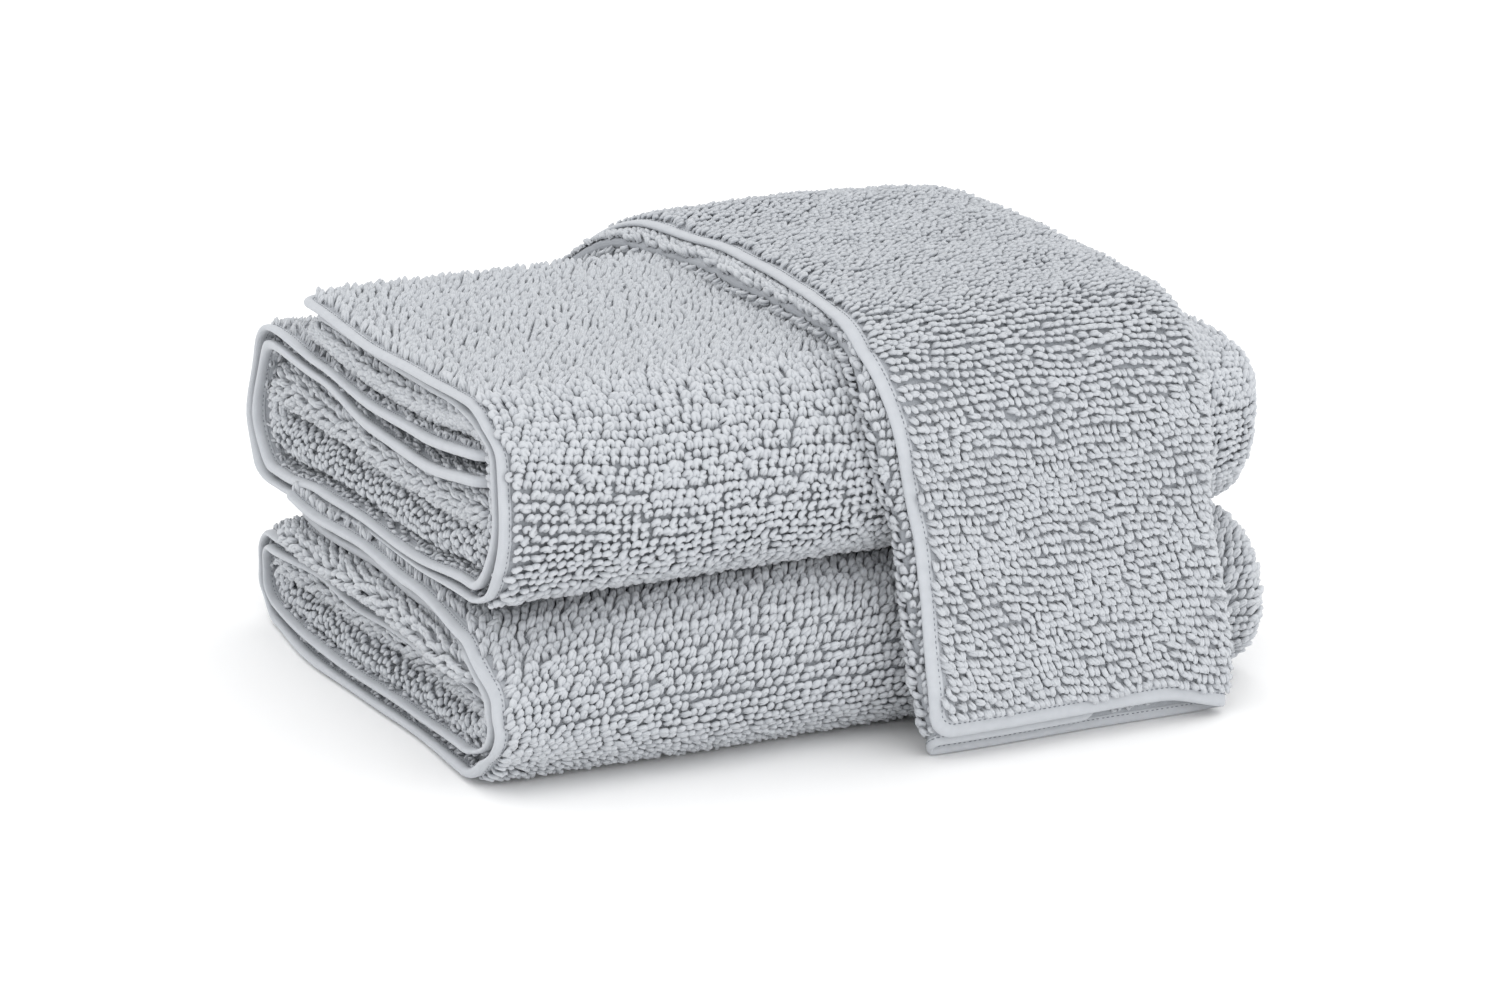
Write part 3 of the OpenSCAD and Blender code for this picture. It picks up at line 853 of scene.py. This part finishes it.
def build_bath(tag, fold, body):
    cloth, parts = dress(tag, fold, body, (TAPE_W, TAPE_W, TAPE_W), 170, 190)
    m, v, w, l = fold.marks, fold.v_marks, fold.width, fold.length
    k = TAPE_W - 0.2 * MM
    far = v[1] + 14 * MM
    row, pitch = 3.7 * MM, 3.95 * MM
    split = m[3] - 2 * MM
    # The outer layer's needle side, round the whole fold, then the edges that show
    areas = [
        ("base", (m[1], m[2] + 8 * MM, k, far), 1, PRESSED, False),
        ("back", (m[0] - 62 * MM, m[1], k, far), 1, SPIKE, False),
        ("middle", (k, m[0] - 62 * MM, v[0] - 14 * MM, far), 1, PRESSED, False),
        ("middle_edge", (k, m[0] - 62 * MM, k, 34 * MM), 1, PRESSED, True),
        ("ridge", (k, w - k, v[2] - 15 * MM, v[3] + 15 * MM), 1, RIDGE, True),
        ("outer_lining", (k, w - k, k, 18 * MM), -1, PRESSED, False),
        ("inner_needle_face", (k, w - k, l - 18 * MM, l - k), 1, PRESSED, False),
        ("inner_bobbin_face", (k, w - k, l - 18 * MM, l - k), -1, PRESSED, False),
    ]
    if fold.top:
        areas.append(("front", (m[2] + 8 * MM, split, k, far), 1, (CURL, SPIKE, split), True))
    else:
        areas.append(("front", (m[2] + 8 * MM, split + 14 * MM, k, far), 1, SLANT, True))
        areas.append(("flap", (split + 14 * MM, w - k, k, 30 * MM), 1, SLANT, True))
        areas.append(("flap_under", (split + 14 * MM, w - k, 30 * MM, far), 1, COVERED, False))
    for name, area, side, forms, fine in areas:
        patch(parts, f"{tag}_pile_{name}", fold, body, area, side, forms, fine, row, pitch)
    if fold.top:
        area = (split, w - k, k, far)
        patch(parts, f"{tag}_pile_flap", fold, body, area, 1, SPIKE, True, 3.3 * MM, 3.4 * MM, rough=0.12)
    return cloth


def build_guest(tag, fold, body):
    cloth, parts = dress(tag, fold, body, (GUEST_SIDE_W, GUEST_END_W, TAPE_W), 160, 110)
    m, v, w, l = fold.marks, fold.v_marks, fold.width, fold.length
    k, e = GUEST_SIDE_W - 0.4 * MM, GUEST_END_W - 0.2 * MM
    row, pitch = 3.75 * MM, 3.25 * MM
    # A bare strip shows along the lower fold, except in front
    crest = (v[2] + v[3]) / 2 + 0.5 * MM
    areas = [
        ("front", (e, m[2] + 20 * MM, k, v[1] + 4 * MM), 1, BEAN, True),
        ("back", (m[2] + 20 * MM, w - e, k, v[1] + 4 * MM), 1, BEAN, False),
        ("lower_hem", (k, 14 * MM, v[1] + 20 * MM, v[2] - 10 * MM), 1, RIDGE, True),
        ("lower", (k, w - e, v[2] - 10 * MM, crest - 1 * MM), 1, RIDGE, True),
        ("ridge_front", (k, 0.75 * m[1], crest - 1 * MM, crest + 1.5 * MM), 1, RIDGE, True),
        ("ridge", (k, w - e, crest + 1.5 * MM, v[3] + 22 * MM), 1, RIDGE, True),
        ("lining", (e, w - e, k, 16 * MM), -1, PRESSED, False),
        ("under", (e, w - e, v[1] + 4 * MM, v[2] - 10 * MM), 1, PRESSED, False),
        ("front_hem", (e, 26 * MM, k, l - k), -1, PRESSED, False),
        ("back_hem", (w - 26 * MM, w - e, k, l - k), -1, PRESSED, False),
    ]
    for name, area, side, forms, fine in areas:
        patch(parts, f"{tag}_pile_{name}", fold, body, area, side, forms, fine, row, pitch, 1.5 * MM, 0.11)
    return cloth


build_bath("bottom_towel", BathFold(0.0, 31, False), "bottom_bath_towel")
build_bath("top_towel", BathFold(TOP_Z, 57, True), "top_bath_towel")
build_guest("guest_towel", GuestDrape(83), "guest_towel")

# ---- Floor, lights, camera ----

floor_mesh = bpy.data.meshes.new("floor")
FLOOR_HALF = 6
corners = [(x * FLOOR_HALF, y * FLOOR_HALF, 0) for x, y in ((-1, -1), (1, -1), (1, 1), (-1, 1))]
floor_mesh.from_pydata(corners, [], [(0, 1, 2, 3)])
floor = bpy.data.objects.new("floor", floor_mesh)
bpy.context.scene.collection.objects.link(floor)
floor_mat, _, floor_p = new_material("floor_paper", 0.9, 0.0)
floor_p.inputs["Base Color"].default_value = (0.98, 0.98, 0.98, 1)
floor_mesh.materials.append(floor_mat)

world = bpy.data.worlds.new("studio")
bpy.context.scene.world = world
world.use_nodes = True
world.node_tree.nodes["Background"].inputs["Color"].default_value = (1, 1, 1, 1)
world.node_tree.nodes["Background"].inputs["Strength"].default_value = 1.25


def area_light(name, at, target, size, power):
    light = bpy.data.lights.new(name, "AREA")
    light.shape = "RECTANGLE"
    light.size, light.size_y = size
    light.energy = power
    ob = bpy.data.objects.new(name, light)
    bpy.context.scene.collection.objects.link(ob)
    ob.location = at
    ob.rotation_euler = (Vector(target) - Vector(at)).to_track_quat("-Z", "Y").to_euler()


centre = (0, 0, 0.08)
area_light("key", (-0.7, -1.2, 1.8), centre, (1.2, 1.2), 3)
area_light("fill", (0.7, -1.9, 0.7), centre, (1.6, 1.0), 5)

AZIMUTH, PITCH, DISTANCE = math.radians(25.9), math.radians(16.55), 1.868
target = Vector((-0.001, 0, 0.0675))
look = Vector(
    (
        math.sin(AZIMUTH) * math.cos(PITCH),
        math.cos(AZIMUTH) * math.cos(PITCH),
        -math.sin(PITCH),
    )
)
cam = bpy.data.cameras.new("camera")
SENSOR_W, FOCAL_PIXELS, IMAGE_W = 36, 4200, 1500
cam.sensor_width = SENSOR_W
cam.lens = SENSOR_W * FOCAL_PIXELS / IMAGE_W
camera = bpy.data.objects.new("camera", cam)
bpy.context.scene.collection.objects.link(camera)
camera.location = target - look * DISTANCE
camera.rotation_euler = look.to_track_quat("-Z", "Y").to_euler()
bpy.context.scene.camera = camera
bpy.context.scene.view_settings.view_transform = "Standard"
